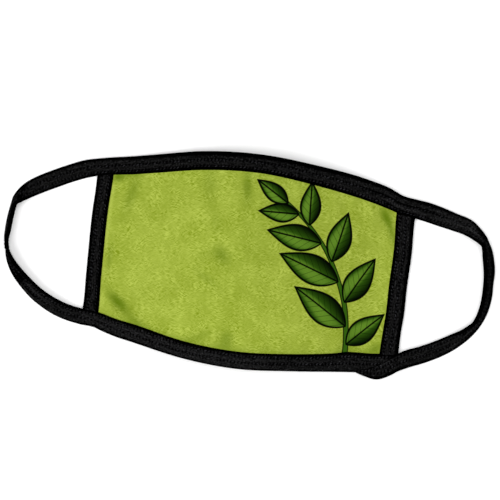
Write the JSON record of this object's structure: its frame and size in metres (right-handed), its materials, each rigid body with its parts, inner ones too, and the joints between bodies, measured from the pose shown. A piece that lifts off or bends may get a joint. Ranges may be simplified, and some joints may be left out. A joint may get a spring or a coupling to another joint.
{
  "type": "cloth face mask",
  "caption": "Arched cloth panel bound with black knit tape that runs on as a soft loop at each side, worn over the nose and mouth with the loops behind the ears.",
  "frame": {"origin": "middle of the mask's footprint, on the surface that it lies on", "axes": "+X along the mask from one ear loop to the other, +Y towards the nose edge, +Z out of the mask's outer face"},
  "size_m": [0.2949, 0.1292, 0.0234],
  "materials": {
    "lime_cloth": "soft brushed woven polyester, matte, printed on the outer face",
    "black_tape": "matte black ribbed knit tape, folded and topstitched"
  },
  "bodies": {
    "root": {"face_panel": "lime_cloth", "side_binding_left": "black_tape", "side_binding_right": "black_tape", "top_binding": "black_tape", "bottom_binding": "black_tape", "ear_loop_left": "black_tape", "ear_loop_right": "black_tape"}
  },
  "joints": []
}
